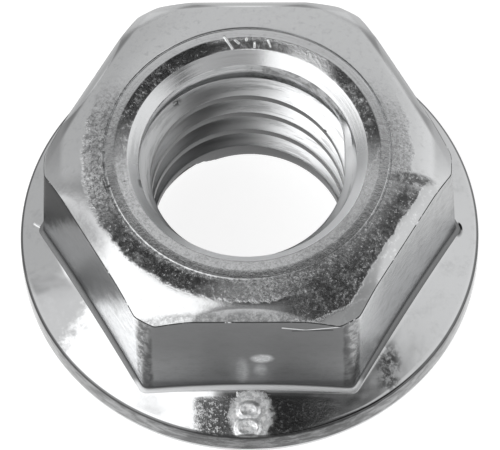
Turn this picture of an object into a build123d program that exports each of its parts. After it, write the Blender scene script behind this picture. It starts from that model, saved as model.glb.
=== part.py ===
from build123d import *
from math import cos, radians, sin, tan
import os

# A hexagon flange nut with a serrated bearing face: cold-forged in one piece, then countersunk and tapped.
# The origin is the centre of the bearing face, on the axis of the thread. +Z runs from the flange to the
# crown, and two flats of the hexagon face -Y and +Y. Every size is in millimetres.

# ---- driving dimensions ----

# thread: the bore is left at the diameter inside the thread's crests
thread_diameter = 8.0
thread_depth = 0.55

# hexagon
nut_height = 7.50
across_flats = 12.95
hexagon_root_radius = 0.25

# crown: a flat ring, then a dome, a bevel along each flat, and corners that the forging die didn't fill
crown_diameter = 10.20
crown_ring_width = 0.37
dome_radius = 3.5
dome_start_slope = 4.0
bevel_slope = 43.0
bevel_drop = 0.57
trimmed_corner_diameter = 14.50
foot_corner_diameter = 14.78

# mouth of the thread at the crown: a forged shoulder that rolls inwards, then a machined countersink
shoulder_width = 0.44
shoulder_drop = 0.125
shoulder_radius = 0.12
upper_countersink_slope = 45.0

# flange
flange_diameter = 16.55
flange_slope = 18.5
rim_height = 1.48
rim_lower_radius = 0.60
rim_upper_radius = 0.12

# bearing face: ratchet teeth round a relieved centre
tooth_count = 30
tooth_depth = 0.30
tooth_land_share = 0.20
steep_flank_draft = 12.0
relief_diameter = 10.90
relief_depth = 0.32
relief_slope = 45.0
lower_countersink_diameter = 8.40
lower_countersink_slope = 45.0

# how far a cut runs past what it cuts
overrun = 0.5

# ---- sizes that follow ----

bore_radius = thread_diameter / 2 - thread_depth
flat_distance = across_flats / 2
flange_radius = flange_diameter / 2
bearing_radius = flange_radius - rim_lower_radius
relief_radius = relief_diameter / 2
lower_countersink_radius = lower_countersink_diameter / 2

# radii across the crown, from the outside in
crown_radius = crown_diameter / 2
crown_ring_radius = crown_radius - crown_ring_width
shoulder_inner_radius = crown_ring_radius - shoulder_width
trimmed_corner_radius = trimmed_corner_diameter / 2
foot_corner_radius = foot_corner_diameter / 2

# the dome is an arc of a circle, tangent to its start slope where it leaves the crown's flat ring
dome_centre_radius = crown_radius - dome_radius * sin(radians(dome_start_slope))
dome_centre_height = nut_height - dome_radius * cos(radians(dome_start_slope))
corner_reach = trimmed_corner_radius - dome_centre_radius
corner_height = dome_centre_height + (dome_radius**2 - corner_reach**2) ** 0.5

# revolved profiles lie on a plane that leaves the faces' seams in the middle of a flat
profile_plane = Plane.XZ.rotated((0, 0, 30))

# ---- the gap between two ratchet teeth ----

tooth_pitch = 360 / tooth_count
gap_angle = tooth_pitch * (1 - tooth_land_share)
gap_inner_radius = relief_radius - relief_depth - overrun
gap_outer_radius = flange_radius + overrun


def gap_section(radius):
    """The gap seen along the radius: a steep flank that bites, then a long ramp. It grows outwards."""
    growth = radius / bearing_radius
    depth = tooth_depth * growth
    steep_width = depth * tan(radians(steep_flank_draft))
    ramp_end = radius * tan(radians(gap_angle))
    below = -overrun * growth
    return Polygon((0, below), (0, 0), (steep_width, depth), (ramp_end, 0), (ramp_end, below), align=None)


with BuildPart() as tooth_gap:
    with BuildSketch(Plane(origin=(gap_inner_radius, 0, 0), x_dir=(0, 1, 0), z_dir=(1, 0, 0))):
        gap_section(gap_inner_radius)
    with BuildSketch(Plane(origin=(gap_outer_radius, 0, 0), x_dir=(0, 1, 0), z_dir=(1, 0, 0))):
        gap_section(gap_outer_radius)
    loft(ruled=True)

# ---- the nut ----

with BuildPart() as flange_nut:
    # hexagon, from inside the flange to the foot of its bevels, then the bevels
    with BuildSketch(Plane.XY.offset(rim_height)):
        RegularPolygon(radius=flat_distance, side_count=6, major_radius=False)
    extrude(amount=nut_height - bevel_drop - rim_height)
    extrude(flange_nut.faces().sort_by(Axis.Z)[-1], amount=bevel_drop, taper=90 - bevel_slope)

    # dome over the crown, and the slight taper that trims the corners
    with BuildSketch(profile_plane):
        with BuildLine():
            RadiusArc((crown_radius, nut_height), (trimmed_corner_radius, corner_height), dome_radius)
            Polyline(
                (trimmed_corner_radius, corner_height),
                (foot_corner_radius, rim_height),
                (0, rim_height),
                (0, nut_height),
                (crown_radius, nut_height),
            )
        make_face()
    revolve(axis=Axis.Z, mode=Mode.INTERSECT)

    # flange: its cone runs on inside the hexagon, and two short cones follow the round of its lower edge
    with BuildSketch(profile_plane) as flange_section:
        rim_turn = rim_lower_radius * sin(radians(45))
        cone_width = flange_radius - crown_radius
        cone_top = rim_height + cone_width * tan(radians(flange_slope))
        with BuildLine():
            Polyline(
                (0, 0),
                (bearing_radius, 0),
                (bearing_radius + rim_turn, rim_lower_radius - rim_turn),
                (flange_radius, rim_lower_radius),
                (flange_radius, rim_height),
                (crown_radius, cone_top),
                (0, cone_top),
                close=True,
            )
        make_face()
        rim_corner = flange_section.vertices().sort_by_distance((flange_radius, rim_height))[0]
        fillet(rim_corner, radius=rim_upper_radius)
    revolve(axis=Axis.Z)

    # root of the hexagon, where its faces and corners meet the flange
    root = flange_nut.edges().filter_by(GeomType.LINE, reverse=True)
    root = root.filter_by(lambda edge: rim_height + rim_upper_radius < edge.center().Z < nut_height / 2)
    fillet(root, radius=hexagon_root_radius)

    # hole: relief, lower countersink, bore, upper countersink and shoulder
    lower_width = lower_countersink_radius - bore_radius
    lower_top = relief_depth + lower_width * tan(radians(lower_countersink_slope))
    upper_top = nut_height - shoulder_drop
    upper_width = shoulder_inner_radius - bore_radius
    upper_foot = upper_top - upper_width * tan(radians(upper_countersink_slope))
    relief_wall_width = relief_depth / tan(radians(relief_slope))
    with BuildSketch(profile_plane) as hole_section:
        with BuildLine():
            Polyline(
                (0, -overrun),
                (relief_radius, -overrun),
                (relief_radius, 0),
                (relief_radius - relief_wall_width, relief_depth),
                (lower_countersink_radius, relief_depth),
                (bore_radius, lower_top),
                (bore_radius, upper_foot),
                (shoulder_inner_radius, upper_top),
                (crown_ring_radius, nut_height),
                (crown_ring_radius, nut_height + overrun),
                (0, nut_height + overrun),
                close=True,
            )
        make_face()
        ring_corner = hole_section.vertices().sort_by_distance((crown_ring_radius, nut_height))[0]
        fillet(ring_corner, radius=shoulder_radius)
    revolve(axis=Axis.Z, mode=Mode.SUBTRACT)

    # ratchet teeth
    with PolarLocations(0, tooth_count):
        add(tooth_gap.part, mode=Mode.SUBTRACT)

flange_nut.part.label = "flange_nut"
os.makedirs("parts", exist_ok=True)
export_step(flange_nut.part, "parts/flange_nut.step")
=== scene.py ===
# %% [markdown]
# # A serrated flange nut
#
# This lesson makes a zinc-plated M8 flange nut in Blender. On the real nut one blank of steel is pressed
# into a hexagon with a flange, a cutter opens the mouth of the hole, and a tap cuts the thread.
# The CAD model of the nut is loaded first. It is the frame that all the sizes here agree with.

import math

import bmesh
import bpy
import numpy as np
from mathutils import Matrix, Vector


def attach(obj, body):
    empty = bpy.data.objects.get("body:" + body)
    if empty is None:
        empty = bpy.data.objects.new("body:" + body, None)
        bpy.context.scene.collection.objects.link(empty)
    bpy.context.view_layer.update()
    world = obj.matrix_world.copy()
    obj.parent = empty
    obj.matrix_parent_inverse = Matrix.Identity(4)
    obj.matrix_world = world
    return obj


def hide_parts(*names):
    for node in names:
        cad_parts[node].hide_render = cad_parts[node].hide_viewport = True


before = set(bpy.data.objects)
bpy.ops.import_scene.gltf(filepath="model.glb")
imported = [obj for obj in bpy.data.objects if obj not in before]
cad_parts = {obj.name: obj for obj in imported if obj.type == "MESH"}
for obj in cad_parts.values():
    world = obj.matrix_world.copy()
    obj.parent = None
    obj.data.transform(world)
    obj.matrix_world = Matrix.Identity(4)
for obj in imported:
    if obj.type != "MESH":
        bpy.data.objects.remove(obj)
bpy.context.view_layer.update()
print("CAD nodes:", sorted(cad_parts))

# %% [markdown]
# ## Sizes
#
# A nut is a turned section that changes with the angle: round at the mouth, six-sided at the wrench faces
# and toothed underneath. So each size is either a radius from the axis or a height above the bearing face.
# They are kept in millimetres, as on a drawing, and become metres only when the mesh is made.

# %% Sizes of the nut
FLAT = 12.95 / 2
HEIGHT = 7.50
CROWN = 5.10
CROWN_RING = 4.73
SHOULDER = 4.29
SHOULDER_DROP = 0.125
BORE = 3.45
THREAD_ROOT = 4.00
PITCH = 1.25
TOP_SLOPE = math.tan(math.radians(45.0))

DOME_RADIUS = 3.5
DOME_START = math.radians(4.0)
BEVEL_SLOPE = math.tan(math.radians(43.0))
BEVEL_FOOT = HEIGHT - 0.57
CORNER = 7.25
CORNER_TAPER = math.tan(math.radians(2.3))

FLANGE = 16.55 / 2
FLANGE_SLOPE = math.tan(math.radians(18.5))
RIM_HEIGHT = 1.48
RIM_ROUND = 0.60
BEARING = FLANGE - RIM_ROUND

TEETH = 30
TOOTH_DEPTH = 0.30
TOOTH_LAND = 0.20
RELIEF = 5.45
RELIEF_DEPTH = 0.32
LOWER_MOUTH = 4.20
print("Thread M8 x", PITCH, "and wrench size", 2 * FLAT)

# %% [markdown]
# ## Columns and rings
#
# The nut could be made by cutting solids from each other, but booleans leave long thin faces that catch the
# light badly on polished metal. Here the skin is a grid instead: 540 columns round the axis, and rings that
# run over the crown, down the wrench faces, under the flange and back up the bore. A ring is one radius and
# one height for every column. 540 columns give each of the 30 teeth 18 columns and each flat 90.

# %% Columns
COLUMNS = 540
turn = np.arange(COLUMNS) * 2 * np.pi / COLUMNS
degrees = np.arange(COLUMNS) * 360 / COLUMNS
off_flat = np.radians(np.mod(degrees, 60) - 30)


def ring(radius, height):
    """One ring: a radius and a height for every column."""
    return np.stack([radius + 0 * turn, height + 0 * turn], axis=1)


def between(first, last, steps):
    """The rings inside a straight run, without its two ends."""
    shares = [(i + 1) / (steps + 1) for i in range(steps)]
    return [first + (last - first) * s for s in shares]


def soft_min(a, b, width):
    """The smaller of two values, blended over a width so that the edge between them is rounded."""
    return 0.5 * (a + b - np.sqrt((a - b) ** 2 + width**2))


def soft_max(a, b, width):
    """The larger of two values, blended over a width."""
    return 0.5 * (a + b + np.sqrt((a - b) ** 2 + width**2))


print("Columns:", COLUMNS, "one every", round(360 / COLUMNS, 3), "degrees")

# %% [markdown]
# ## Rounded corners
#
# No forged or plated edge is perfectly sharp: a small round is what gives each edge its thin bright line.
# A Bevel modifier could add the rounds, but it would also change the edges of the teeth and the thread.
# So each corner of the section is replaced here by an arc between the ring before it and the ring after it.

# %% Rounded corners


def unit(v):
    return v / np.maximum(np.linalg.norm(v, axis=1, keepdims=True), 1e-9)


def rounded(before, corner, after, radius, steps):
    """Rings that turn a corner of the section on an arc of this radius."""
    back = unit(before - corner)
    onward = unit(after - corner)
    cosine = np.clip((back * onward).sum(1, keepdims=True), -0.9999, 0.9999)
    half = np.arccos(cosine) / 2
    reach = radius / np.tan(half)
    room = np.linalg.norm(before - corner, axis=1, keepdims=True)
    room_after = np.linalg.norm(after - corner, axis=1, keepdims=True)
    reach = np.minimum(reach, 0.45 * np.minimum(room, room_after))
    centre = corner + unit(back + onward) * reach / np.cos(half)
    first = corner + back * reach - centre
    last = corner + onward * reach - centre
    sweep = np.pi - 2 * half
    rings = []
    for i in range(steps + 1):
        s = i / steps
        a = np.sin((1 - s) * sweep) / np.sin(sweep)
        b = np.sin(s * sweep) / np.sin(sweep)
        rings.append(centre + first * a + last * b)
    return rings


quarter = rounded(ring(0, 0), ring(1, 0), ring(1, 1), 0.3, 4)
print("A test arc of four steps starts at", quarter[0][0].round(2), "and ends at", quarter[-1][0].round(2))

# %% [markdown]
# ## The top of the hexagon
#
# The forging die leaves a shallow dome over the crown and a bevel along each flat. The two meet in a curved
# line, and near the six corners the dome falls away because the steel doesn't quite fill the die there.
# Both are written as heights over the plan, and the lower of the two is the surface.

# %% Heights over the plan
dome_centre = CROWN - DOME_RADIUS * math.sin(DOME_START)
dome_base = HEIGHT - DOME_RADIUS * math.cos(DOME_START)


def top_height(radius):
    """The dome or the bevel, whichever is lower, at this radius in every column."""
    reach = np.clip(radius - dome_centre, 0, 0.98 * DOME_RADIUS)
    dome = dome_base + np.sqrt(DOME_RADIUS**2 - reach**2)
    bevel = BEVEL_FOOT + (FLAT - radius * np.cos(off_flat)) * BEVEL_SLOPE
    return soft_min(dome, bevel, 0.02)


def wall_radius(height):
    """The wrench faces, with the corners trimmed by a slightly tapered round."""
    flats = FLAT / np.cos(off_flat)
    corners = CORNER + np.maximum(6.5 - height, 0) * CORNER_TAPER
    return soft_min(flats, corners, 0.03)


edge_radius = wall_radius(6.9)
for attempt in range(4):
    edge_height = top_height(edge_radius)
    edge_radius = wall_radius(edge_height)
foot_radius = wall_radius(2.0)
for attempt in range(4):
    foot_height = RIM_HEIGHT + (FLANGE - foot_radius) * FLANGE_SLOPE
    foot_radius = wall_radius(foot_height)
print("Top edge from", round(edge_height.min(), 2), "mm at the corners to", round(edge_height.max(), 2))

# %% [markdown]
# ## Ratchet teeth
#
# The bearing face has 30 ratchet teeth that let the nut be tightened but bite when it starts to loosen.
# Each gap has a steep flank on one side, a long ramp back to the face, and then a narrow flat land.
# The gaps fan out, so they also grow deeper with the distance from the axis.

# %% Height of the toothed face
STEEP_FLANK = math.tan(math.radians(12.0))
relief_foot = RELIEF - RELIEF_DEPTH


def toothed_height(radius):
    """How high the gap between two teeth is above the bearing plane."""
    pitch = 2 * np.pi / TEETH
    along = np.mod(turn, pitch)
    depth = TOOTH_DEPTH * radius / BEARING
    steep = depth * STEEP_FLANK / np.maximum(radius, 1)
    ramp_end = pitch * (1 - TOOTH_LAND)
    rise = np.clip(along / np.maximum(steep, 1e-6), 0, 1)
    fall = np.clip((ramp_end - along) / (ramp_end - steep), 0, 1)
    return depth * np.minimum(rise, fall)


def underside(radius, plain):
    """The plain underside, or the gap where that is deeper."""
    return ring(radius, np.maximum(plain, toothed_height(radius)))


print("Tooth pitch in degrees:", 360 / TEETH)

# %% [markdown]
# ## The outer skin, ring by ring
#
# The rings start high in the mouth, cross the rolled shoulder and the flat crown, and drop down the dome.
# A fine step shows where the punch stopped on the crown, so it gets its own few rings.

# %% Rings from the mouth to the step
MOUTH_SEAM = 3.88
SHOULDER_ROUND = 0.10
RING_ROUND = 0.30
STEP_DEPTH = 0.055
STEP_END = CROWN + 0.035
mouth_height = HEIGHT - SHOULDER_DROP - (SHOULDER - MOUTH_SEAM) * TOP_SLOPE
mouth_ring = ring(MOUTH_SEAM, mouth_height)
shoulder = ring(SHOULDER, HEIGHT - SHOULDER_DROP)
crown_inside = ring(CROWN_RING, HEIGHT)
crown_outside = ring(CROWN - 0.07, HEIGHT - 0.014)

skin = [mouth_ring]
skin += between(mouth_ring, shoulder, 2)
mouth_limit = len(skin)
skin += rounded(mouth_ring, shoulder, crown_inside, SHOULDER_ROUND, 3)
skin += rounded(shoulder, crown_inside, crown_outside, RING_ROUND, 5)
skin += [crown_outside, ring(CROWN - 0.03, HEIGHT - STEP_DEPTH), ring(CROWN, HEIGHT - STEP_DEPTH)]
skin += [ring(STEP_END, HEIGHT - 0.004)]
print("Rings from the mouth to the step:", len(skin))

# %% Rings over the dome to the top edge
DOME_RINGS = 18
EDGE_ROUND = 0.07
for i in range(DOME_RINGS):
    radius = STEP_END + (edge_radius - STEP_END) * (i + 1) / (DOME_RINGS + 0.6)
    skin.append(ring(radius, top_height(radius)))

crown_limit = len(skin)
edge = ring(edge_radius, edge_height)
foot = ring(foot_radius, foot_height)
skin += rounded(skin[-1], edge, foot, EDGE_ROUND, 4)
edge_limit = len(skin) - 1
print("Rings down to the top edge:", len(skin))

# %% [markdown]
# The wrench faces are plain, but they are divided all the same so that the taper of the corners can grow
# down them. A small root round then joins them to the cone of the flange.

# %% Rings from the wrench faces to the rim
FACE_RINGS = 9
FOOT_ROUND = 0.25
RIM_CORNER = 0.12
below_edge = edge_height - 0.12
above_foot = foot_height + FOOT_ROUND
for i in range(FACE_RINGS):
    height = below_edge + (above_foot - below_edge) * (i + 0.5) / FACE_RINGS
    skin.append(ring(wall_radius(height), height))

rim_top = ring(FLANGE, RIM_HEIGHT)
rim_low = ring(FLANGE, RIM_ROUND)
root = rounded(skin[-1], foot, rim_top, FOOT_ROUND, 5)
wall_limit = len(skin)
skin += root
root_limit = len(skin) - 1
skin += between(root[-1], rim_top - [RIM_CORNER, -RIM_CORNER * FLANGE_SLOPE], 12)
skin += rounded(skin[-1], rim_top, rim_low, RIM_CORNER, 4)
skin += between(skin[-1], rim_low, 1)
rim_limit = len(skin)
LIMITS = [mouth_limit, crown_limit, edge_limit, wall_limit, root_limit, rim_limit]
print("Rings down to the rim:", len(skin))

# %% [markdown]
# Underneath, the round of the rim and the relief in the middle are plain turned shapes, and the gaps
# between the teeth cut into both of them.

# %% Rings under the flange
LOWER_SEAM = 4.05
ROUND_RINGS = 9
for i in range(ROUND_RINGS):
    bend = math.pi / 2 * (1 - i / ROUND_RINGS)
    radius = BEARING + RIM_ROUND * math.sin(bend)
    skin.append(underside(radius, RIM_ROUND * (1 - math.cos(bend))))
for radius in np.linspace(BEARING, RELIEF, 9):
    skin.append(underside(radius, 0.0))
for radius in np.linspace(RELIEF - 0.06, relief_foot + 0.03, 4):
    skin.append(underside(radius, RELIEF - radius))
skin += between(underside(relief_foot, RELIEF_DEPTH), ring(LOWER_MOUTH, RELIEF_DEPTH), 5)
skin.insert(-5, underside(relief_foot, RELIEF_DEPTH))
low_mouth = ring(LOWER_SEAM, RELIEF_DEPTH + LOWER_MOUTH - LOWER_SEAM)
skin += rounded(skin[-1], ring(LOWER_MOUTH, RELIEF_DEPTH), low_mouth, 0.05, 2)
skin.append(low_mouth)
print("Rings down to the lower mouth:", len(skin))

# %% [markdown]
# ## The thread
#
# A Screw modifier could sweep the thread, but then it would have to be cut to fit the two mouths.
# Instead the rows of the bore climb one pitch a turn, as the real thread does. Each row knows where it is
# across the groove, and where a mouth is wider than the thread, the mouth wins.

# %% Rows that climb
CREST_HALF = 0.17
FLANK_LEAN = math.tan(math.radians(30))
FIRST_CREST = 5.01
flank = (THREAD_ROOT - BORE) * FLANK_LEAN
marks = [0, CREST_HALF - 0.02, CREST_HALF + 0.03, CREST_HALF + 0.5 * flank]
marks += [CREST_HALF + flank - 0.02, CREST_HALF + flank + 0.03]
row_marks = marks + [PITCH / 2] + [PITCH - m for m in reversed(marks[1:])]
ROWS = len(row_marks)

lower_seam_height = low_mouth[0, 1]
whole_turns = int(math.ceil((FIRST_CREST - lower_seam_height) / PITCH)) + 1
climb = PITCH * turn / (2 * np.pi)
base = FIRST_CREST - PITCH * whole_turns
print("Rows in one pitch:", ROWS, "and half width of a crest:", CREST_HALF)

# %% [markdown]
# The top turn of the thread wears away into the mouth: its crest is worn back over 40 degrees, and its
# groove grows shallow as it nears the mouth. At the other end the tap left the lowest crest wide over
# about a third of a turn. There the lower flank is moved so far that it fills the groove under it.

# %% Thread section
LAST_CREST = 362
CREST_FADE = 40
WORN = MOUTH_SEAM
SHALLOW_FROM = 6.25
SHALLOW_TO = 6.55
WIDE_UNTIL = 130
WIDE_FADE = 50
FILLED = 2


def eased(value, start, end):
    """Goes smoothly from 0 to 1 while the value goes from start to end."""
    share = np.clip((value - start) / (end - start), 0, 1)
    return share * share * (3 - 2 * share)


def groove_radius(place, column):
    """Radius of the thread at a place along the climb, measured from the middle of the first crest."""
    number = np.floor(place / PITCH + 0.5)
    away = np.abs(place - number * PITCH)
    turns_up = number - whole_turns
    turned = turns_up * 360 + degrees[column]
    crest = BORE + (WORN - BORE) * eased(turned, LAST_CREST, LAST_CREST + CREST_FADE)
    slant = crest + (away - CREST_HALF) / FLANK_LEAN
    under_lowest = (turns_up == -3) & (place < number * PITCH)
    wide = np.clip((WIDE_UNTIL - degrees[column]) / WIDE_FADE, 0, 1)
    slant = np.where(under_lowest, slant - FILLED * wide, slant)
    shallow = eased(place + climb[column] + base, SHALLOW_FROM, SHALLOW_TO)
    deepest = THREAD_ROOT + (WORN - THREAD_ROOT) * shallow
    return soft_min(soft_max(slant, crest, 0.04), deepest, 0.05)


def mouth_radius(height):
    """The wider of the two mouths at this height."""
    upper = SHOULDER - (HEIGHT - SHOULDER_DROP - height) / TOP_SLOPE
    lower = LOWER_MOUTH - (height - RELIEF_DEPTH)
    return np.maximum(upper, lower)


print("Width of the lower mouth in mm:", round(2 * float(mouth_radius(RELIEF_DEPTH)), 2))

# %% [markdown]
# The rows are cut off level at the two seams. Where the thread runs out into a mouth, the nearest row is
# moved onto the exact crossing, which keeps the feathered end of the first thread crisp.

# %% Rows of the bore
pitches = whole_turns + 2
every = np.arange(COLUMNS)
starts = [base + number * PITCH + mark for number in range(pitches) for mark in row_marks]
rows = np.array([start + climb for start in starts + [base + pitches * PITCH]])
print("Rows before they are cut off:", len(rows))

# %% Move rows onto the crossings
gap_to_mouth = mouth_radius(rows) - groove_radius(rows - climb - base, every)
for k in range(len(rows) - 1):
    crossing = gap_to_mouth[k] * gap_to_mouth[k + 1] < 0
    inside = (rows[k] > lower_seam_height) & (rows[k + 1] < mouth_height)
    for j in np.nonzero(crossing & inside)[0]:
        low, high = rows[k, j], rows[k + 1, j]
        sign = gap_to_mouth[k, j] > 0
        for halving in range(30):
            middle = (low + high) / 2
            gap = mouth_radius(middle) - groove_radius(middle - climb[j] - base, j)
            if (gap > 0) == sign:
                low = middle
            else:
                high = middle
        nearest = k if middle - rows[k, j] < rows[k + 1, j] - middle else k + 1
        rows[nearest, j] = middle

heights = np.clip(rows, lower_seam_height, mouth_height)
radii = soft_max(groove_radius(rows - climb - base, every), mouth_radius(heights), 0.03)
radii = np.where(rows <= lower_seam_height, LOWER_SEAM, radii)
radii = np.where(rows >= mouth_height, MOUTH_SEAM, radii)
print("Rows of the bore:", len(rows))

# %% [markdown]
# ## One closed mesh
#
# The rings and the rows are joined into one skin with no open edge, so that the nut can also be printed.
# The last column of each thread row meets the first column of the row one pitch higher.

# %% Join the rings and rows
LAST = COLUMNS - 1
bore_start = len(skin)
rings = [(r[:, 0], r[:, 1]) for r in skin] + list(zip(radii, heights))
points = [np.stack([r * np.cos(turn), r * np.sin(turn), z], axis=1) for r, z in rings]
faces = []
finishes_of_faces = []


def add_face(r, j, next_r, next_j, finish):
    """One face between two neighbouring columns, and the number of its finish."""
    here = r * COLUMNS + j
    beside = next_r * COLUMNS + next_j
    faces.append((here, beside, beside + COLUMNS, here + COLUMNS))
    finishes_of_faces.append(finish)


for r in range(bore_start - 1):
    finish = sum(r >= limit for limit in LIMITS)
    for j in range(COLUMNS):
        add_face(r, j, r, (j + 1) % COLUMNS, finish)
for k in range(len(rows) - 1):
    r = bore_start + k
    for j in range(LAST):
        add_face(r, j, r, j + 1, 0)
    if k + ROWS + 1 < len(rows):
        add_face(r, LAST, r + ROWS, 0, 0)
print("Rings and rows:", len(rings), "and faces:", len(faces))

# %% Close the mesh
METRES = 0.001
SAME_POINT = 2e-7
mesh = bpy.data.meshes.new("flange_nut_body")
mesh.from_pydata((np.concatenate(points) * METRES).tolist(), [], faces)
mesh.polygons.foreach_set("material_index", finishes_of_faces)
bm = bmesh.new()
bm.from_mesh(mesh)
bmesh.ops.remove_doubles(bm, verts=bm.verts, dist=SAME_POINT)
bmesh.ops.recalc_face_normals(bm, faces=bm.faces)


def counted(bm):
    """How many triangles the mesh has, and how many of its edges two faces don't share."""
    open_edges = sum(len(e.link_faces) != 2 for e in bm.edges)
    return f"{sum(len(f.verts) - 2 for f in bm.faces)} triangles, {open_edges} open edges"


print("The closed mesh has", counted(bm))
bm.to_mesh(mesh)
bm.free()

# %% [markdown]
# ## The raised figure on the flange
#
# Nuts carry their strength class as a small raised figure, here an 8. It is pressed with the flange, so it
# has soft sides and no gap around it. A Text object would need hard joining, so the faces under the figure
# are divided and their points are lifted along the flange, by how near they are to two joined ovals.

# %% Shape of the figure 8
FIGURE_HEIGHT = 0.10
STROKE_SIDE = 0.15
STROKE_TOP = 0.02
OVALS = [(0.0, -7.33, 0.30, 0.205), (-0.02, -7.93, 0.35, 0.25)]


def figure_share(x, y):
    """1 in the middle of the figure's stroke, 0 beside it."""
    best = 9.0
    for cx, cy, wide, tall in OVALS:
        u = (x - cx) / wide
        v = (y - cy) / tall
        size = math.hypot(u, v)
        spread = math.hypot(u / wide, v / tall)
        best = min(best, abs(size - 1) * size / max(spread, 1e-6))
    return eased(best, STROKE_SIDE, STROKE_TOP)


print("In the middle of the upper oval's stroke:", round(float(figure_share(0.30, -7.33)), 2))

# %% Raise the figure 8


def near_figure(at, margin=0.0):
    """True on the part of the flange that carries the figure; the place is in millimetres."""
    return abs(at.x) < 0.62 + margin and -8.22 - margin < at.y < -6.95 + margin and 1.3 < at.z < 2.1


bm = bmesh.new()
bm.from_mesh(mesh)
region = [f for f in bm.faces if f.normal.z > 0.8 and near_figure(f.calc_center_median() / METRES)]
figure_edges = list(dict.fromkeys(e for f in region for e in f.edges))
bmesh.ops.subdivide_edges(bm, edges=figure_edges, cuts=2, use_grid_fill=True)
flange_lean = math.atan(FLANGE_SLOPE)
off_flange = Vector((0, -math.sin(flange_lean), math.cos(flange_lean)))
lifted = 0
for v in bm.verts:
    at = v.co / METRES
    if near_figure(at, 0.02):
        share = figure_share(at.x, at.y)
        v.co += off_flange * share * FIGURE_HEIGHT * METRES
        lifted += share > 0
crowded = [f for f in bm.faces if len(f.verts) > 4]
bmesh.ops.triangulate(bm, faces=crowded)
print("Points lifted:", lifted, "and the mesh has", counted(bm))
bm.to_mesh(mesh)
bm.free()

# %% [markdown]
# ## Smooth faces, crisp edges
#
# Smooth shading makes the columns read as one round surface. Edges that turn by more than 24 degrees are
# marked sharp, so the teeth, the thread and the step on the crown stay crisp.

# %% Shade the nut
CRISP_FROM = 24
mesh.shade_smooth()
mesh.set_sharp_from_angle(angle=math.radians(CRISP_FROM))
nut = bpy.data.objects.new("flange_nut_body", mesh)
bpy.context.scene.collection.objects.link(nut)
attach(nut, "root")
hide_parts("flange_nut")
print("Nut spans in mm:", [round(1000 * d, 2) for d in nut.dimensions])

# %% [markdown]
# ## Zinc plate on several kinds of steel surface
#
# The plate is only some hundredths of a millimetre thick, so it copies the steel under it: pressed and
# pitted on the crown, turned in the mouth, drawn by the die on the wrench faces, smooth on the flange.
# One metal is used everywhere, and each finish adds its own roughness, relief and tones.
# Image textures could do this too, but patterns worked out from the position need no unwrapping.
#
# A finish has many small nodes, and wiring each by hand would hide what it does. So four short classes
# build on each other, and the first one only joins nodes as if they were sums.

# %% Sums made of nodes


class NodeSums:
    """A metal material, with sums that are worked out by its nodes."""

    def __init__(self, name):
        self.material = bpy.data.materials.new(name)
        self.material.use_nodes = True
        self.tree = self.material.node_tree
        self.shader = self.tree.nodes["Principled BSDF"]
        self.shader.inputs["Metallic"].default_value = 1.0

    def link(self, value, socket):
        """Sets a socket from a number, a tuple or another socket."""
        if isinstance(value, (int, float, tuple)):
            socket.default_value = value
        else:
            self.tree.links.new(value, socket)

    def vector(self, operation, first, second=None, scale=None, out="Vector"):
        """One operation on vectors."""
        node = self.tree.nodes.new("ShaderNodeVectorMath")
        node.operation = operation
        self.link(first, node.inputs[0])
        if second is not None:
            self.link(second, node.inputs[1])
        if scale is not None:
            self.link(scale, node.inputs["Scale"])
        return node.outputs[out]

    def math(self, operation, first, second=0.0):
        """One operation on two numbers."""
        node = self.tree.nodes.new("ShaderNodeMath")
        node.operation = operation
        self.link(first, node.inputs[0])
        self.link(second, node.inputs[1])
        return node.outputs[0]

    def joined(self, operation, values):
        """One operation that joins several numbers, from left to right."""
        result = values[0]
        for value in values[1:]:
            result = self.math(operation, result, value)
        return result

    def times(self, *values):
        return self.joined("MULTIPLY", values)

    def plus(self, *values):
        return self.joined("ADD", values)

    def most(self, *values):
        return self.joined("MAXIMUM", values)


print("Sums that nodes can do now: times, plus, most and any other by its name")

# %% [markdown]
# Every pattern is laid out in millimetres from the axis and the bearing face, so that a value in a finish
# can be read as a real size. Noise has a scale in spots per millimetre.

# %% Places and noise in millimetres


class Places(NodeSums):
    """Knows where each point of the nut is, and lays noise out on that."""

    def __init__(self, name):
        super().__init__(name)
        where = self.tree.nodes.new("ShaderNodeTexCoord")
        self.mm = self.vector("SCALE", where.outputs["Object"], scale=1 / METRES)
        split = self.tree.nodes.new("ShaderNodeSeparateXYZ")
        self.link(self.mm, split.inputs[0])
        self.x, self.y, self.z = split.outputs
        flat = self.vector("MULTIPLY", self.mm, (1, 1, 0))
        self.radius = self.vector("LENGTH", flat, out="Value")
        self.angle = self.math("ARCTAN2", self.y, self.x)
        turned = self.tree.nodes.new("ShaderNodeSeparateXYZ")
        self.link(where.outputs["Normal"], turned.inputs[0])
        self.facing_up = turned.outputs["Z"]

    def along(self, x, y, z=0.0):
        """How far a point is along a direction, in millimetres."""
        return self.vector("DOT_PRODUCT", self.mm, (x, y, z), out="Value")

    def place(self, x, y, z):
        """A place made of three values, which bends the noise that is laid out on it."""
        node = self.tree.nodes.new("ShaderNodeCombineXYZ")
        for value, socket in zip((x, y, z), node.inputs):
            self.link(value, socket)
        return node.outputs[0]

    def noise(self, scale, detail=2.0, at=None, stretch=(1, 1, 1), sharp=0.5):
        """Noise with about this many spots per millimetre."""
        node = self.tree.nodes.new("ShaderNodeTexNoise")
        node.inputs["Scale"].default_value = scale
        node.inputs["Detail"].default_value = detail
        node.inputs["Roughness"].default_value = sharp
        self.link(self.vector("MULTIPLY", at or self.mm, stretch), node.inputs["Vector"])
        return node.outputs["Fac"]

    def waver(self, scale, size, detail=5, stretch=(1, 1, 1), sharp=0.7):
        """Noise round zero: added to a place, it makes a border ragged."""
        centred = self.math("SUBTRACT", self.noise(scale, detail, stretch=stretch, sharp=sharp), 0.5)
        return self.times(centred, size)


print("Millimetres in a metre:", round(1 / METRES))

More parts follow.
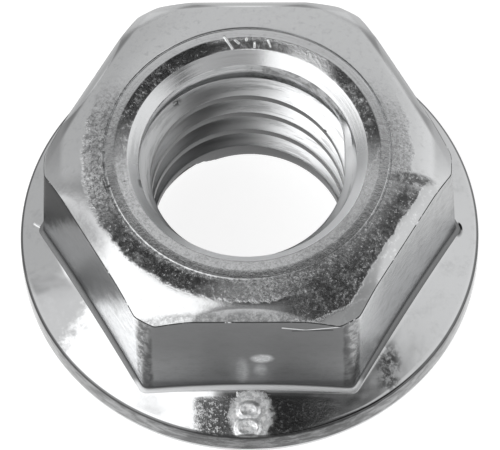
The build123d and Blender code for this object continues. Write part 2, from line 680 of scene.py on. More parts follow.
# %% [markdown]
# A border is a value, such as a height, that fades in between two limits. Several borders multiplied
# together enclose an area, and where one of them is noise, the area breaks up into patches.
# Spots and lines are borders too: their value is the distance from a point or from a line.

# %% Borders, spots and lines


class Borders(Places):
    """Shares from 0 to 1 that say where a tone or a relief goes."""

    def ramp(self, value, start, end, low=0.0, high=1.0):
        """Goes smoothly from low to high while the value goes from start to end."""
        node = self.tree.nodes.new("ShaderNodeMapRange")
        node.interpolation_type = "SMOOTHSTEP"
        for name, v in (("From Min", start), ("From Max", end), ("To Min", low), ("To Max", high)):
            node.inputs[name].default_value = v
        self.link(value, node.inputs["Value"])
        return node.outputs["Result"]

    def within(self, *borders):
        """The product of shares and borders. A border is written as the arguments of a ramp."""
        return self.times(*[self.ramp(*b) if isinstance(b, tuple) else b for b in borders])

    def spot(self, centre, sizes, edge=0.35):
        """1 inside an oval spot with these half sizes, 0 outside it."""
        away = self.vector("DIVIDE", self.vector("SUBTRACT", self.mm, centre), sizes)
        return self.ramp(self.vector("LENGTH", away, out="Value"), 1 + edge, 1 - edge)

    def line(self, start, end, width):
        """1 on a straight line between two points, 0 beside it."""
        run = Vector(end) - Vector(start)
        away = self.vector("SUBTRACT", self.mm, start)
        share = self.vector("DOT_PRODUCT", away, tuple(run / run.length_squared), out="Value")
        share = self.math("MINIMUM", self.math("MAXIMUM", share, 0.0), 1.0)
        nearest = self.vector("SCALE", tuple(run), scale=share)
        gap = self.vector("LENGTH", self.vector("SUBTRACT", away, nearest), out="Value")
        return self.ramp(gap, width, width * 0.35)


print("Borders are written as (value, start, end), with a low and a high share if they aren't 0 and 1")

# %% [markdown]
# Tones, reliefs and roughness are added one after another, so a finish can be read from top to bottom.
# Relief goes through Bump nodes: pits of a few thousandths of a millimetre are too fine for the mesh.

# %% Tones, reliefs and roughness


def grey(level):
    """A very slightly bluish grey, as zinc is."""
    return (level, level * 1.01, level * 1.02, 1)


class SteelFinish(Borders):
    """A finish of plated steel, to which tones, reliefs and roughness are added."""

    def __init__(self, name, level, roughness, grazing=1.0):
        super().__init__(name)
        self.colour = grey(level)
        self.roughness = roughness
        self.normal = None
        self.link(self.colour, self.shader.inputs["Base Color"])
        self.link(roughness, self.shader.inputs["Roughness"])
        self.link((grazing, grazing, grazing, 1), self.shader.inputs["Specular Tint"])

    def tone(self, share, level):
        """Moves the colour towards a grey by a share."""
        node = self.tree.nodes.new("ShaderNodeMix")
        node.data_type = "RGBA"
        self.link(share, node.inputs[0])
        self.link(self.colour, node.inputs[6])
        self.link(grey(level), node.inputs[7])
        self.colour = node.outputs[2]
        self.link(self.colour, self.shader.inputs["Base Color"])

    def relief(self, height, size):
        """Adds a relief; a height of 1 stands this many millimetres above a height of 0."""
        node = self.tree.nodes.new("ShaderNodeBump")
        node.inputs["Strength"].default_value = 1.0
        node.inputs["Distance"].default_value = size * METRES
        self.link(height, node.inputs["Height"])
        if self.normal is not None:
            self.link(self.normal, node.inputs["Normal"])
        self.normal = node.outputs["Normal"]
        self.link(self.normal, self.shader.inputs["Normal"])

    def rougher(self, *shares):
        """Adds these shares to the roughness."""
        self.link(self.plus(self.roughness, *shares), self.shader.inputs["Roughness"])


ZINC = 0.66
print("Colour of clean zinc:", [round(part, 3) for part in grey(ZINC)])

# %% [markdown]
# ## Turned mouth
#
# The cutter that opened the mouth left fine lines round the axis. They are a noise that changes quickly
# along the section and hardly at all around it, so the lines are long and uneven, as a worn cutter's are.
# The front of the mouth is more matt and painted lighter, which is painted light, and its back is painted
# a little darker, which is painted shade.

# %% Finish of the mouth
mouth = SteelFinish("zinc_mouth_and_thread", ZINC, 0.22)
round_mouth = mouth.place(mouth.radius, mouth.angle, mouth.z)
mouth.relief(mouth.noise(9, 4, round_mouth, (1, 0.12, 1), 0.7), 0.006)
mouth.relief(mouth.noise(9, 3), 0.0015)
# Painted shade: the back of the mouth a little darker.
mouth.tone(mouth.within((mouth.y, 2.2, 3.2), (mouth.x, 1.6, 0.2)), 0.50)
on_cone = (mouth.radius, MOUTH_SEAM - 0.02, MOUTH_SEAM + 0.02)
front_of_mouth = mouth.within((mouth.y, 0.8, -1.6), on_cone, (mouth.x, -3.6, -1.4, 0.35))
# Painted light: the front of the mouth lighter.
mouth.tone(front_of_mouth, 0.95)
print("The cone of the mouth starts", 2 * MOUTH_SEAM, "mm across")

# %% [markdown]
# ## Cut thread
#
# A tap tears the steel a little, so the flanks of the thread are streaky, and the streaks follow the cut.
# The flat crests and the turns deep in the hole are painted dark, which is painted shade, and the left side
# is painted darker than the right, which is painted shade and painted light. On the cone of the mouth the
# radius less the height is the same everywhere, and only the thread inside it has more.

# %% Tones of the thread
cone = mouth.math("SUBTRACT", mouth.radius, mouth.times(mouth.z, 1 / TOP_SLOPE))
cone_at = SHOULDER - (HEIGHT - SHOULDER_DROP) / TOP_SLOPE
in_thread = mouth.ramp(cone, cone_at + 0.004, cone_at + 0.03)
mouth.rougher(mouth.times(front_of_mouth, 0.40), mouth.times(in_thread, 0.12))
mouth.tone(in_thread, 0.62)
# Painted shade on the left and deeper in the hole, and painted light on the right.
mouth.tone(mouth.within(in_thread, (mouth.x, 0.8, -1.6), (mouth.z, 6.4, 5.2, 0.1)), 0.32)
mouth.tone(mouth.within(in_thread, (mouth.x, 0.6, 2.0)), 0.80)
streaks = mouth.noise(5, 5, round_mouth, (1, 0.25, 1), 0.75)
mouth.tone(mouth.within(in_thread, (streaks, 0.50, 0.62), 0.45), 0.20)
# Painted shade: the lowest turns on the left darker still.
low_turns = mouth.within(in_thread, (mouth.z, 4.0, 2.8), (mouth.x, 1.2, -0.4))
mouth.tone(mouth.times(low_turns, 0.6), 0.16)
print("The cone of the mouth has a radius less height of", round(cone_at, 2), "mm")

# %% [markdown]
# The crests are found by their slope: of all the faces inside the hole, only the crests and the last wall
# under the mouth stand upright. The crests are painted dark, which is painted shade. A black spot and a nick
# sit among them.

# %% Crests of the thread
upright = mouth.within(in_thread, (mouth.math("ABSOLUTE", mouth.facing_up), 0.45, 0.25))
# Painted shade: the flat crests dark.
mouth.tone(mouth.within(upright, (mouth.radius, 3.70, 3.60)), 0.13)
last_wall = mouth.within(upright, (mouth.radius, 3.76, 3.84))
torn = mouth.ramp(mouth.noise(3, 4, sharp=0.7), 0.40, 0.55, 1.0, 0.25)
mouth.tone(mouth.within(last_wall, torn, (mouth.x, -0.6, 0.4, 0.0, 0.6)), 0.10)
black_spot = mouth.spot((-2.57, 2.94, 5.9), (0.15, 0.15, 0.07), 0.8)
black_spot = mouth.within(black_spot, (mouth.noise(9, 3), 0.40, 0.55))
nick = mouth.line((2.66, 2.30, 5.20), (2.80, 2.00, 5.34), 0.05)
mouth.tone(mouth.most(black_spot, nick), 0.06)
print("Nodes in the finish of the mouth:", len(mouth.tree.nodes))

# %% [markdown]
# ## Pressed crown
#
# The punch pressed the crown and left it pitted in a ring round the mouth, darker than the smooth steel
# outside it. The ring ends in a ragged border, which is a radius with some noise added.

# %% Pitted ring of the crown
PITTED_TO = 5.94
crown = SteelFinish("zinc_pressed_crown", ZINC, 0.17)
ragged = crown.waver(1.8, 0.6, stretch=(1, 1, 0), sharp=0.75)
pitted_ring = crown.within((crown.plus(crown.radius, ragged), PITTED_TO, 5.78), (crown.y, 3.6, 0.6))
on_shoulder = crown.ramp(crown.radius, CROWN_RING + 0.05, CROWN_RING - 0.03)
print("The pitted ring reaches from", CROWN_RING, "to about", PITTED_TO, "mm from the axis")

# %% [markdown]
# On the right in front the pitted steel runs out as far as the bevels. Borders laid along two flats and the
# corner between them enclose it there, and a slanting one where it fades. Behind it lies a short smear.

# %% Run-out of the pitted ring
RIGHT_FLAT = (0.866, -0.5)
BEVEL_START = 5.98
BEVEL_FULL = 6.06
to_right = crown.plus(crown.along(*RIGHT_FLAT), crown.times(ragged, 0.6))
to_corner = crown.plus(crown.along(0.5, -0.866), ragged)
to_front = crown.math("SUBTRACT", ragged, crown.y)
bounded_x = crown.math("MINIMUM", crown.x, 5.5)
slanting = crown.plus(crown.y, crown.times(ragged, 2.5), crown.times(bounded_x, -0.8), 4.0)
run_out = crown.within((to_right, BEVEL_FULL, BEVEL_START), (to_corner, 6.80, 6.70), (to_front, 6.48, 6.36))
run_out = crown.within(run_out, (crown.x, 0.9, 2.6), (slanting, -1.0, -2.1), (crown.radius, 4.95, 5.80, 0.3))
smear = crown.spot((5.80, -1.00, 7.1), (0.80, 0.26, 1.0), 0.3)
run_out = crown.most(run_out, crown.within(smear, (crown.noise(3, 4, sharp=0.7), 0.36, 0.50)))
inside_step = (crown.radius, CROWN - 0.02, CROWN - 0.08, 1.0, 0.35)
pitted = crown.within(crown.most(pitted_ring, run_out), inside_step)
print("Nodes in the borders of the pitted steel:", len(crown.tree.nodes))

# %% Relief of the crown
pits = crown.noise(9, 4, sharp=0.75)
crown.relief(crown.times(pits, crown.most(pitted, crown.times(on_shoulder, 0.7))), 0.028)
round_crown = crown.place(crown.radius, crown.angle, 0.0)
turning = crown.noise(10, 3, round_crown, (1, 0.1, 1), 0.7)
crown.relief(crown.within(turning, (crown.radius, 6.2, 5.2)), 0.004)
crown.relief(crown.noise(2.5, 4, sharp=0.6), 0.004)
print("Reliefs on the crown: pits, turning marks and long waves")

# %% [markdown]
# The pitted parts are toned dark in patches, less on the right, and painted darker in front, which is
# painted shade. The rolled shoulder is painted darker in the same way on its two sides and at the back,
# which is painted shade too. Then the grains get painted highlights, and thin stains lie over everything.

# %% Tones of the pitted steel
patches = crown.noise(3.0, 6, sharp=0.85)
pitted_less_on_right = crown.within(pitted, (crown.x, 3.0, 4.6, 1.0, 0.45))
crown.tone(crown.within(pitted_less_on_right, (patches, 0.66, 0.36)), 0.36)
crown.tone(crown.within(pitted_less_on_right, (pits, 0.50, 0.42, 0.0, 0.7)), 0.10)
# Painted shade: the pitted steel in front, on the left and in the run-out on the right.
left_front = crown.within(pitted, (crown.x, 0.9, -1.3), (crown.y, -1.2, -3.5), (crown.radius, 5.12, 5.30))
crown.tone(crown.within(left_front, (patches, 0.70, 0.46, 0.55, 0.98)), 0.05)
crown.tone(crown.within(run_out, (patches, 0.66, 0.44, 0.4, 0.97)), 0.07)
print("Nodes in the crown after the tones of the pitted steel:", len(crown.tree.nodes))

# %% Tones of the rolled shoulder
# Painted shade on the two sides and at the back of the rolled shoulder.
side_left = crown.within((crown.x, -1.0, -1.6), (crown.y, -1.0, 1.8))
side_right = crown.within((crown.x, 2.4, 3.3), (crown.y, -1.0, 1.0))
sides = crown.times(on_shoulder, crown.most(side_left, side_right))
crown.tone(crown.within(sides, (patches, 0.70, 0.48, 0.3, 1.0)), 0.07)
behind = crown.within(on_shoulder, (crown.y, 3.2, 4.0), (crown.radius, 4.28, 4.34))
behind = crown.within(behind, (crown.radius, 4.66, 4.56), (crown.x, 1.9, 1.0))
crown.tone(crown.within(behind, (patches, 0.62, 0.46, 0.2, 0.9)), 0.12)
# Painted highlights on the grains of the pitted steel and the shoulder.
crown.tone(crown.within(crown.most(pitted, sides), (pits, 0.58, 0.68), 0.75), 0.80)
crown.tone(crown.ramp(crown.noise(4, 6, sharp=0.8), 0.50, 0.72, 0.0, 0.35), 0.36)
print("Tones of the shoulder: two sides, the back, rubbed grains and stains")

# %% [markdown]
# The bevels were pressed by another part of the die. On the right the bevel is matt and painted light, which
# is a painted reflection, with a band round the corner painted dull, which is painted shade. On the left, at
# the back and along the lip in front the bevels are painted grey to dark, which is painted shade, and a
# lighter patch lies on the front bevel.

# %% Bevels on the right
band = crown.within((to_right, BEVEL_START, BEVEL_FULL), (crown.y, -0.8, -1.3))
# Painted reflection: the light band on the right bevel.
crown.tone(band, 0.60)
crown.tone(crown.within(band, (patches, 0.52, 0.64, 0.0, 0.7)), 0.85)
corner_band = crown.within((to_corner, 6.74, 6.89), (crown.x, 2.4, 3.0), (crown.y, -5.2, -5.6))
# Painted shade: the dull band round the corner.
crown.tone(crown.times(corner_band, 0.55), 0.30)
crown.rougher(crown.times(band, 0.22), crown.times(pitted, 0.06), crown.times(corner_band, 0.35))
print("Bevels on the right: a light band and a dull corner")

# %% Bevels on the left, at the back and in front
LEFT_FLAT = (-0.866, -0.5)
# Painted shade on the left bevel, the left side, the back bevels and the lip in front.
left_band = crown.within((crown.along(*LEFT_FLAT), 5.95, 6.15), (crown.y, -4.2, -3.0))
left_band = crown.within(left_band, (crown.y, -1.2, -2.6, 0.1))
crown.tone(crown.within(left_band, (patches, 0.40, 0.60, 0.95, 0.5)), 0.30)
left_side = crown.within((crown.x, -4.4, -5.1), (crown.y, -0.4, -1.4))
left_side = crown.within(left_side, (crown.plus(crown.y, ragged), -4.2, -2.8))
crown.tone(crown.within(left_side, (pitted, 1.0, 0.0), 0.65), 0.25)
to_back = crown.most(crown.along(-0.866, 0.5), crown.along(0.866, 0.5), crown.y)
crown.tone(crown.within((to_back, 6.08, 6.22), (crown.y, -0.5, 0.8)), 0.30)
crown.tone(crown.within((crown.z, 7.10, 6.95), (crown.y, -1.5, 0.5), 0.8), 0.42)
front_lip = crown.within((crown.y, -6.08, -6.28), (crown.x, 2.5, 1.5))
crown.tone(crown.within(front_lip, (patches, 0.62, 0.40, 0.2, 0.9)), 0.26)
# A lighter patch on the front bevel.
lighter_front_patch = crown.spot((-0.4, -5.45, 7.4), (1.1, 0.35, 1.0), 0.5)
crown.tone(crown.times(lighter_front_patch, 0.35), 0.66)
print("Nodes in the finish of the crown:", len(crown.tree.nodes))

# %% [markdown]
# ## Marks on the crown
#
# Loose nuts knock against each other in the drum where they are plated. That leaves a few bright nicks on
# the shoulder and a short dark crack by the step. Each mark is a line between two points.

# %% Nicks and a crack
crack = crown.line((-5.02, -1.38, 7.48), (-4.34, -1.08, 7.40), 0.05)
crack = crown.most(crack, crown.line((-5.10, -1.10, 7.48), (-4.95, -1.55, 7.48), 0.04))
# The crack is a groove in the relief; its dark tone is painted shade.
crown.tone(crack, 0.10)
NICKS = [
    ((-0.84, 4.72, 7.50), (-0.55, 4.30, 7.37)),
    ((-0.45, 4.60, 7.45), (-0.33, 4.50, 7.43)),
    ((-0.05, 4.66, 7.48), (-0.05, 4.60, 7.46)),
    ((0.24, 4.52, 7.43), (0.24, 4.36, 7.38)),
    ((0.72, 4.60, 7.45), (0.82, 4.36, 7.38)),
]
nicks = crown.most(*[crown.line(start, end, 0.06) for start, end in NICKS])
crown.tone(nicks, 0.95)
crown.relief(crown.math("SUBTRACT", nicks, crack), 0.03)
print("Nicks on the shoulder:", len(NICKS))

# %% [markdown]
# ## Edges and roots
#
# The top edges of the hexagon are painted dark along their rounds, which is painted shade, with bright bits
# where they were knocked.
# The small rounds at the foot are painted darker where they stand upright, and darker along the sides and
# back than in front, which is painted shade in the corner.

# %% Finish of the top edges
# Painted shade: the rounds of the top edges dark.
painted_shade_edges = SteelFinish("zinc_edge_painted_shade", 0.05, 0.36, grazing=0.5)
painted_shade_edges.tone(painted_shade_edges.ramp(painted_shade_edges.noise(2.2, 4, sharp=0.75), 0.56, 0.66), 0.75)
painted_shade_edges.relief(painted_shade_edges.noise(8, 3), 0.010)
print("Nodes in the finish of the top edges:", len(painted_shade_edges.tree.nodes))

# %% Finish of the roots
roots = SteelFinish("zinc_root", 0.62, 0.48, grazing=0.5)
# Painted shade in the round at the foot: darker where it stands upright, and along the sides and back.
roots.tone(roots.ramp(roots.facing_up, 0.60, 0.30), 0.14)
roots.tone(roots.within((roots.y, -6.3, -6.0), 0.9), 0.17)
roots.relief(roots.noise(7, 3), 0.006)
print("Nodes in the finish of the roots:", len(roots.tree.nodes))

# %% [markdown]
# ## Drawn wrench faces
#
# The die drew these faces, so their grain runs up and down, and they are duller than the crown. Cold
# drawing leaves clouds and stains of different greys. Across the left face, with ragged borders, the tone is
# painted dark at its far corner, which is painted shade, and light towards the front, which is a painted
# reflection of the flange.
# A metal mirrors more at a flat angle; the grazing value keeps that down, as the rough grain does.

# %% Left wrench face
GRAZING = 0.68
wrench = SteelFinish("zinc_wrench_faces", 0.62, 0.27, grazing=GRAZING)
left_face = wrench.within((wrench.x, -3.6, -3.9), (wrench.y, 1.0, 0.0))
cloudy_edge = wrench.waver(1.2, 1.6, sharp=0.65)
across = wrench.plus(wrench.times(cloudy_edge, 0.6), wrench.y, wrench.times(wrench.z, 0.53))
# Painted shade and a painted reflection across the left face, with the grazing value following them.
wrench.tone(wrench.within(left_face, (across, -2.2, -1.2)), 0.34)
light_end = wrench.within(left_face, (across, -1.5, -2.5))
wrench.tone(light_end, 1.0)
dark_corner = wrench.within(left_face, (across, 0.9, 1.4))
wrench.tone(dark_corner, 0.10)
dull_part = wrench.within(left_face, (across, -2.0, -1.0), 0.16)
grazing = wrench.plus(GRAZING, wrench.times(light_end, 0.30), wrench.times(dark_corner, -0.12))
grazing = wrench.math("SUBTRACT", grazing, dull_part)
wrench.link(grazing, wrench.shader.inputs["Specular Tint"])
print("Nodes for the left wrench face:", len(wrench.tree.nodes))

# %% [markdown]
# The front face is painted the darkest, and lighter towards the bottom, which is painted shade and painted
# light.
# A dark, patchy strip runs down each of its ends, the faces are painted darker just above the foot, which is
# painted shade, and the end of the right face beside it has a painted highlight.

# %% Front face
front = wrench.ramp(wrench.y, -6.30, -6.45)
# Painted shade: the front face dark.
wrench.tone(front, 0.20)
# Painted light: the front face lighter towards the bottom.
wrench.tone(wrench.within(front, (wrench.z, 5.4, 2.6)), 0.29)
from_middle = wrench.plus(wrench.math("ABSOLUTE", wrench.x), wrench.times(cloudy_edge, 0.15))
end_strips = wrench.within((wrench.y, -6.02, -6.20), (from_middle, 3.34, 3.46), (wrench.x, 3.2, -3.2, 0.85))
strip_noise = wrench.noise(3, 5, sharp=0.7)
wrench.tone(wrench.within(end_strips, (strip_noise, 0.60, 0.42, 0.4, 0.88)), 0.07)
clouds = wrench.noise(2.4, 6, stretch=(1, 1, 1.6), sharp=0.8)
wrench.tone(wrench.ramp(clouds, 0.42, 0.72, 0.0, 0.40), 0.16)
# Painted shade just above the foot, less on the left face.
wrench.tone(wrench.within((wrench.z, 2.60, 2.25, 0.0, 0.45), (left_face, 0.0, 1.0, 1.0, 0.3)), 0.09)
# Painted highlight on the end of the right face.
right_end_highlight = wrench.within((wrench.y, -4.2, -5.8), (wrench.y, -6.12, -6.00), (wrench.x, 3.55, 3.70))
wrench.tone(wrench.times(right_end_highlight, 0.6), 0.95)
wrench.rougher(wrench.times(front, 0.16))
print("Nodes in the finish of the wrench faces:", len(wrench.tree.nodes))

# %% [markdown]
# ## Marks and a painted reflection on the front face
#
# A scratch runs under the top edge, painted bright as a highlight with a painted shadow just below it, and a
# painted reflection of the raised 8 shines lower down.
# The face stands half the wrench size in front of the axis, so all the marks have that y.

# %% Scratch and painted reflection


def on_front(x, z):
    """A point on the front face."""
    return (x, -FLAT, z)


# The scratch is a groove in the relief, painted bright as a highlight.
scratch = wrench.line(on_front(1.25, 6.50), on_front(2.05, 6.33), 0.055)
scratch = wrench.most(scratch, wrench.line(on_front(2.05, 6.33), on_front(3.30, 6.56), 0.050))
# Painted reflection of the raised 8.
painted_reflection = wrench.spot(on_front(0.50, 4.16), (0.34, 1.0, 0.28), 0.5)
below = wrench.times(wrench.spot(on_front(0.44, 3.25), (0.20, 1.0, 0.42), 0.6), 0.4)
beside = wrench.times(wrench.spot(on_front(-0.20, 3.2), (0.20, 1.0, 0.80), 0.6), 0.3)
painted_reflection = wrench.within(wrench.most(painted_reflection, below, beside), (clouds, 0.40, 0.60, 1.0, 0.5))
wrench.tone(wrench.most(wrench.times(scratch, 0.8), painted_reflection), 0.90)
# Painted shadow just below the scratch.
wrench.tone(wrench.line(on_front(1.6, 6.28), on_front(3.0, 6.34), 0.05), 0.06)
wrench.relief(wrench.noise(5, 4, stretch=(0.5, 0.5, 1.6), sharp=0.6), 0.007)
wrench.relief(wrench.noise(14, 3, sharp=0.6), 0.0015)
wrench.relief(scratch, 0.012)
print("Marks on the front face: a scratch and a bruise")

# %% [markdown]
# ## Smooth flange
#
# The flange spread freely under the press, so it is the smoothest part: nearly a mirror, with slow waves.
# On the left of the figure the plate is blotchy, and on its right lies a painted dark pool of shade that
# fades out.
# Further round on the left the flange is painted a little darker, with a cloudy border, which is painted
# shade.

# %% Finish of the flange
SMOOTH = 0.09
FIGURE_FRONT = (-6.80, -7.05)
flange = SteelFinish("zinc_smooth_flange", ZINC, SMOOTH)
flange.relief(flange.noise(0.9, 2, sharp=0.45), 0.008)
blotches = flange.noise(8, 4, sharp=0.75)
from_blotches = flange.math("ABSOLUTE", flange.plus(flange.x, 1.25))
blotchy = flange.within((from_blotches, 0.85, 0.45), (flange.y, *FIGURE_FRONT))
flange.relief(flange.times(blotches, blotchy), 0.016)
dark_blotches = flange.plus(blotches, flange.ramp(flange.x, -1.5, -0.8, 0.0, -0.08))
flange.tone(flange.within(blotchy, (dark_blotches, 0.47, 0.54, 0.84, 0.0)), 0.04)
# Painted shade: the dark pool on the right of the figure.
pool = flange.within((flange.x, 0.55, 0.72), (flange.x, 3.6, 1.5), (flange.y, *FIGURE_FRONT))
flange.relief(flange.times(blotches, pool), 0.008)
flange.tone(flange.within(pool, (blotches, 0.66, 0.52, 0.2, 0.82)), 0.03)
# Painted shade further round on the left.
painted_shade_left = flange.within((flange.x, -4.5, -5.0), (flange.y, -1.7, -2.4))
cloudy = flange.plus(flange.along(-0.87, 0.49), flange.waver(1.5, 2.0))
flange.tone(flange.within(painted_shade_left, (cloudy, 3.15, 3.75)), 0.33)
flange.tone(flange.ramp(flange.noise(1.6, 6, sharp=0.75), 0.48, 0.70, 0.0, 0.30), 0.40)
print("Nodes in the finish of the flange so far:", len(flange.tree.nodes))

# %% [markdown]
# Round the figure the stamp left a light matt patch. It is an oval with an uneven border.

# %% Patch round the figure
from_figure = flange.vector("ADD", flange.mm, (-0.10, 7.56, 0.0))
from_figure = flange.vector("MULTIPLY", from_figure, (1 / 0.80, 1 / 0.95, 0.0))
from_figure = flange.vector("LENGTH", from_figure, out="Value")
uneven = flange.times(flange.noise(3, 3, sharp=0.6), 0.8)
patch = flange.ramp(flange.plus(from_figure, uneven), 1.52, 1.20)
flange.rougher(flange.times(patch, 0.36))
flange.tone(patch, 1.0)
flange.relief(flange.times(patch, flange.noise(7, 4, sharp=0.7)), 0.012)
flange.tone(flange.within(patch, (flange.noise(6, 4, sharp=0.7), 0.42, 0.58, 0.6, 0.0)), 0.40)
print("Roughness of the flange, and of the patch:", SMOOTH, round(SMOOTH + 0.36, 2))

# %% [markdown]
# ## Rim of the flange
#
# The rim wasn't touched by the die. It is painted darker, most of all in front, which is painted shade, with
# long stains, and has a painted dark line along its top edge, which is painted shade too.

# %% Rim
# Painted shade: the rim darker, most of all in front, with a dark line along its top edge.
rim = flange.ramp(flange.z, RIM_HEIGHT + 0.02, RIM_HEIGHT - 0.06)
flange.tone(rim, 0.32)
rim_stains = flange.noise(1.4, 5, stretch=(1, 1, 3), sharp=0.75)
flange.tone(flange.within(rim, (rim_stains, 0.60, 0.40, 0.0, 0.8)), 0.10)
rim_front = flange.within(rim, (flange.y, -6.6, -7.6), (flange.x, -3.2, -1.6))
flange.tone(flange.within(rim_front, (rim_stains, 0.70, 0.40, 0.35, 0.85)), 0.07)
top_line = flange.within((flange.radius, 8.17, 8.21), (flange.z, 1.36, 1.42))
flange.tone(flange.times(top_line, 0.8), 0.03)
print("Tones of the rim: plain, stained, dark in front, and a line")

# %% [markdown]
# A dent in one corner, three small creases and a stain by the foot of the hexagon finish the flange.

# %% Dent, creases and stain
dent = flange.spot((7.50, -0.02, 1.75), (0.16, 0.26, 0.5))
# The dent is a hollow in the relief; its dark tone is painted shade.
flange.tone(dent, 0.10)
creases = flange.most(
    flange.line((-7.76, 0.30, 1.62), (-7.58, 0.16, 1.70), 0.06),
    flange.line((-3.15, -6.62, 1.95), (-2.60, -6.60, 1.97), 0.07),
    flange.line((3.05, -6.75, 1.90), (3.45, -6.60, 1.90), 0.08),
)
flange.tone(creases, 0.92)
flange.relief(flange.math("SUBTRACT", creases, dent), 0.03)
stain = flange.spot((5.00, -5.60, 1.7), (0.40, 0.85, 0.8), 0.5)
flange.tone(flange.within(stain, (flange.noise(2.2, 5, sharp=0.75), 0.42, 0.58)), 0.12)
print("Nodes in the finish of the flange:", len(flange.tree.nodes))

# %% [markdown]
# ## Underside
#
# The teeth are pressed by the lower die. That leaves a fine, even grain, a little duller than the crown.
# The finishes are put on the mesh in the order in which its faces were numbered.

# %% Finish of the underside, and all the finishes in order
underside_finish = SteelFinish("zinc_pressed_underside", 0.60, 0.24)
underside_finish.relief(underside_finish.noise(6, 4, sharp=0.6), 0.004)
for finish in (mouth, crown, painted_shade_edges, wrench, roots, flange, underside_finish):
    mesh.materials.append(finish.material)
print("Finishes:", [m.name for m in mesh.materials])

# %% [markdown]
# ## A pale floor
#
# The nut stands on white paper. A plain white floor would either look grey or mirror far too brightly in
# the polished steel, so the paper is a mid grey that also glows, but only where it is looked at or mirrored.
# It still takes the nut's shadow, because the glow is added to the light that the paper reflects.

# %% Floor
FLOOR_SIZE = 0.8
bpy.ops.mesh.primitive_plane_add(size=FLOOR_SIZE, location=(0, 0, 0))
floor = bpy.context.object
floor.name = "studio_floor"
paper = bpy.data.materials.new("pale_paper")
paper.use_nodes = True
nodes = paper.node_tree.nodes
links = paper.node_tree.links
nodes["Principled BSDF"].inputs["Base Color"].default_value = (0.35, 0.35, 0.35, 1)
nodes["Principled BSDF"].inputs["Roughness"].default_value = 0.9
floor.data.materials.append(paper)
print("Floor in metres:", [round(d, 2) for d in floor.dimensions])

# %% Glow of the paper
PAPER_GLOW = 0.86
path = nodes.new("ShaderNodeLightPath")
seen = path.outputs["Is Camera Ray"]
for ray in ("Is Glossy Ray", "Is Transmission Ray"):
    either = nodes.new("ShaderNodeMath")
    either.operation = "ADD"
    either.use_clamp = True
    links.new(seen, either.inputs[0])
    links.new(path.outputs[ray], either.inputs[1])
    seen = either.outputs[0]
glow_level = nodes.new("ShaderNodeMath")
glow_level.operation = "MULTIPLY"
glow_level.inputs[1].default_value = PAPER_GLOW
links.new(seen, glow_level.inputs[0])
glow = nodes.new("ShaderNodeEmission")
glow.inputs["Color"].default_value = (1, 1, 1, 1)
links.new(glow_level.outputs[0], glow.inputs["Strength"])
both = nodes.new("ShaderNodeAddShader")
links.new(nodes["Principled BSDF"].outputs[0], both.inputs[0])
links.new(glow.outputs[0], both.inputs[1])
links.new(both.outputs[0], nodes["Material Output"].inputs["Surface"])
print("Paper glows at", PAPER_GLOW)

# %% [markdown]
# ## A studio in the sky
#
# Polished metal shows its surroundings more than itself, so the light is what makes it look like metal.
# Lamps would need real boxes round the nut. Here the surroundings are painted on the sky instead: pale
# walls, a dark ceiling, a dim panel in front and one bright softbox on the left.
# Most of them are bounded by planes across the sky, which the helpers below turn into soft edges.

# %% Sums for the sky
world = bpy.data.worlds.new("studio_world")
bpy.context.scene.world = world
world.use_nodes = True
sky_nodes = world.node_tree.nodes
sky_links = world.node_tree.links
background = sky_nodes["Background"]
background.inputs["Color"].default_value = (1, 1, 1, 1)


def sky_math(operation, first, second):
    """A Math node of the world, from sockets or numbers."""
    node = sky_nodes.new("ShaderNodeMath")
    node.operation = operation
    for slot_number, value in enumerate((first, second)):
        if isinstance(value, (int, float)):
            node.inputs[slot_number].default_value = value
        else:
            sky_links.new(value, node.inputs[slot_number])
    return node.outputs[0]


def overlap(*shares):
    """The part of the sky that all of these share."""
    result = shares[0]
    for share in shares[1:]:
        result = sky_math("MULTIPLY", result, share)
    return result


def lit(level, share, other):
    """Moves from one light level to another by a share."""
    change = sky_math("SUBTRACT", other, level)
    return sky_math("ADD", level, sky_math("MULTIPLY", change, share))


print("Sky colour:", [round(c, 2) for c in background.inputs["Color"].default_value])

# %% Soft planes across the sky
heading = sky_nodes.new("ShaderNodeTexCoord")


def soft_step(value, start, end):
    """0 before the start, 1 after the end, and smooth between."""
    soft = sky_nodes.new("ShaderNodeMapRange")
    soft.interpolation_type = "SMOOTHSTEP"
    soft.inputs["From Min"].default_value = start
    soft.inputs["From Max"].default_value = end
    sky_links.new(value, soft.inputs["Value"])
    return soft.outputs["Result"]


def past(direction, start, end):
    """0 before a plane across the sky, 1 behind it."""
    dot = sky_nodes.new("ShaderNodeVectorMath")
    dot.operation = "DOT_PRODUCT"
    dot.inputs[1].default_value = Vector(direction)
    sky_links.new(heading.outputs["Generated"], dot.inputs[0])
    return soft_step(dot.outputs["Value"], start, end)


print("Sky nodes before the walls:", len(sky_nodes))

# %% [markdown]
# The walls are brighter on the right than on the left, and darker low in front, where the viewer stands.
# A dim panel hangs in front. The ceiling is an oval and nearly black: the front of the crown mirrors it.

# %% Walls and panel
LEFT = (-1, 0, 0)
RIGHT = (1, 0, 0)
FRONT = (0, -1, 0)
UP = (0, 0, 1)
BACK_WALL = 0.74
RIGHT_WALL = 1.08
LEFT_WALL = 0.60
LOW_FRONT = 0.30
walls = lit(BACK_WALL, past(RIGHT, 0.3, 0.9), RIGHT_WALL)
walls = lit(walls, past(LEFT, 0.10, 0.40), LEFT_WALL)
walls = lit(walls, past((0, -1, -0.35), 0.62, 0.90), LOW_FRONT)
above = past(UP, 0.3, 0.4)
panel = overlap(past(FRONT, 0.12, 0.22), past(FRONT, 0.68, 0.56), past(RIGHT, 0.86, 0.72), above)
panel_level = sky_math("ADD", 0.06, sky_math("MULTIPLY", past(RIGHT, 0.35, 0.05), 0.22))
walls = lit(walls, panel, panel_level)
print("Light from the walls: left, back and right", (LEFT_WALL, BACK_WALL, RIGHT_WALL))

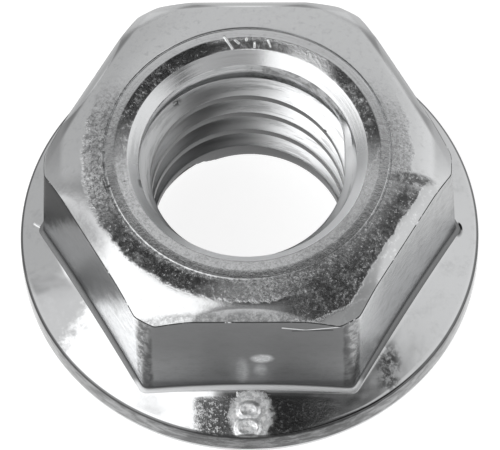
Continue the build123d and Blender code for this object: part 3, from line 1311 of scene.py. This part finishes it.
# %% Oval ceiling
CEILING = 0.035
HALF_WIDTH = 0.44
HALF_DEPTH = 0.35
SET_BACK = 0.13
oval = sky_nodes.new("ShaderNodeVectorMath")
oval.operation = "MULTIPLY_ADD"
oval.inputs[1].default_value = (1 / HALF_WIDTH, 1 / HALF_DEPTH, 0)
oval.inputs[2].default_value = (0, -SET_BACK / HALF_DEPTH, 0)
sky_links.new(heading.outputs["Generated"], oval.inputs[0])
from_oval = sky_nodes.new("ShaderNodeVectorMath")
from_oval.operation = "LENGTH"
sky_links.new(oval.outputs["Vector"], from_oval.inputs[0])
ceiling = lit(walls, overlap(soft_step(from_oval.outputs["Value"], 1.12, 0.86), above), CEILING)
print("Sky nodes so far:", len(sky_nodes))

# %% [markdown]
# The softbox is by far the brightest thing. Its edge draws the line between bright and dark that runs
# over the crown and the flange, and a narrow strip of it reaches further round in front.

# %% Softbox
SOFTBOX = 1.7
softbox = overlap(past(FRONT, -0.33, -0.25), past(FRONT, 0.97, 0.9), past((-0.86, -0.5, 0), 0.25, 0.33))
softbox = overlap(softbox, past(LEFT, 0.14, 0.24), past(UP, 0.12, 0.30))
strip = overlap(past(LEFT, 0.09, 0.16), past(FRONT, 0.06, 0.12), past(FRONT, 0.30, 0.22), above)
softbox = sky_math("MAXIMUM", softbox, strip)
sky_links.new(lit(ceiling, softbox, SOFTBOX), background.inputs["Strength"])
print("Sky nodes:", len(sky_nodes))

# %% [markdown]
# ## Camera
#
# The camera looks down at the nut from the front, far away with a long lens, so that the hexagon and the
# flange keep their proportions. It leans over by a degree and a half.

# %% Where the camera looks from
AROUND = math.radians(1.549)
RAISED = math.radians(61.863)
LEAN = math.radians(-1.521)
DISTANCE = 0.260
target = Vector((0.000052, -0.000975, 0.0039))
level_share = math.cos(RAISED)
back = Vector((math.sin(AROUND) * level_share, -math.cos(AROUND) * level_share, math.sin(RAISED)))
level_right = Vector((0, 0, 1)).cross(back).normalized()
level_up = back.cross(level_right)
right = math.cos(LEAN) * level_right + math.sin(LEAN) * level_up
up = math.cos(LEAN) * level_up - math.sin(LEAN) * level_right
print("The camera stands at", [round(c, 3) for c in target + DISTANCE * back])

# %% Camera
SENSOR = 36
PICTURE_WIDTH = 500
FOCAL_PIXELS = 7266.5
camera_data = bpy.data.cameras.new("camera")
camera = bpy.data.objects.new("camera", camera_data)
bpy.context.scene.collection.objects.link(camera)
matrix = camera.matrix_world.copy()
for column, axis in enumerate((right, up, back, target + DISTANCE * back)):
    for i in range(3):
        matrix[i][column] = axis[i]
camera.matrix_world = matrix
camera_data.sensor_width = SENSOR
camera_data.lens = SENSOR * FOCAL_PIXELS / PICTURE_WIDTH
camera_data.clip_start = 0.01
camera_data.clip_end = 10
bpy.context.scene.camera = camera
bpy.context.scene.view_settings.view_transform = "Standard"
print("Lens in mm:", round(camera_data.lens, 1))
